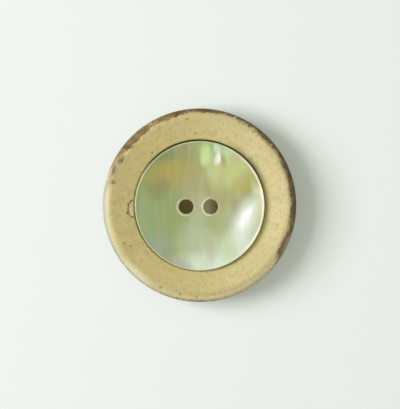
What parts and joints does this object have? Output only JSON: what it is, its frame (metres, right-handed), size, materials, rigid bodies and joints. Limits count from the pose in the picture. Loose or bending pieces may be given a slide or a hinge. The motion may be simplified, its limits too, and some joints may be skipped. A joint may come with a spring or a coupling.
{
  "type": "inlaid sewing button",
  "caption": "Round sewing button: a bowed coconut-shell disc with a dished mother-of-pearl inlay glued into its front and thread holes through the middle.",
  "frame": {"origin": "centre of the ground flat back, on the button's axis, at the lowest plane of the part", "axes": "+Z along the button's axis out of its front, +X along the pair of thread holes, +Y up in the picture"},
  "size_m": [0.028, 0.028, 0.0043],
  "materials": {
    "coconut_shell": "satin, pale tan lining on the front and dark brown bark on the rim, side and back",
    "mother_of_pearl": "polished nacre in grey-green, mint and gold with a pearly lustre",
    "glue": "dark hardened resin"
  },
  "bodies": {
    "root": {"coconut_body": "coconut_shell", "shell_inlay": "mother_of_pearl", "glue_bed": "glue"}
  },
  "joints": []
}
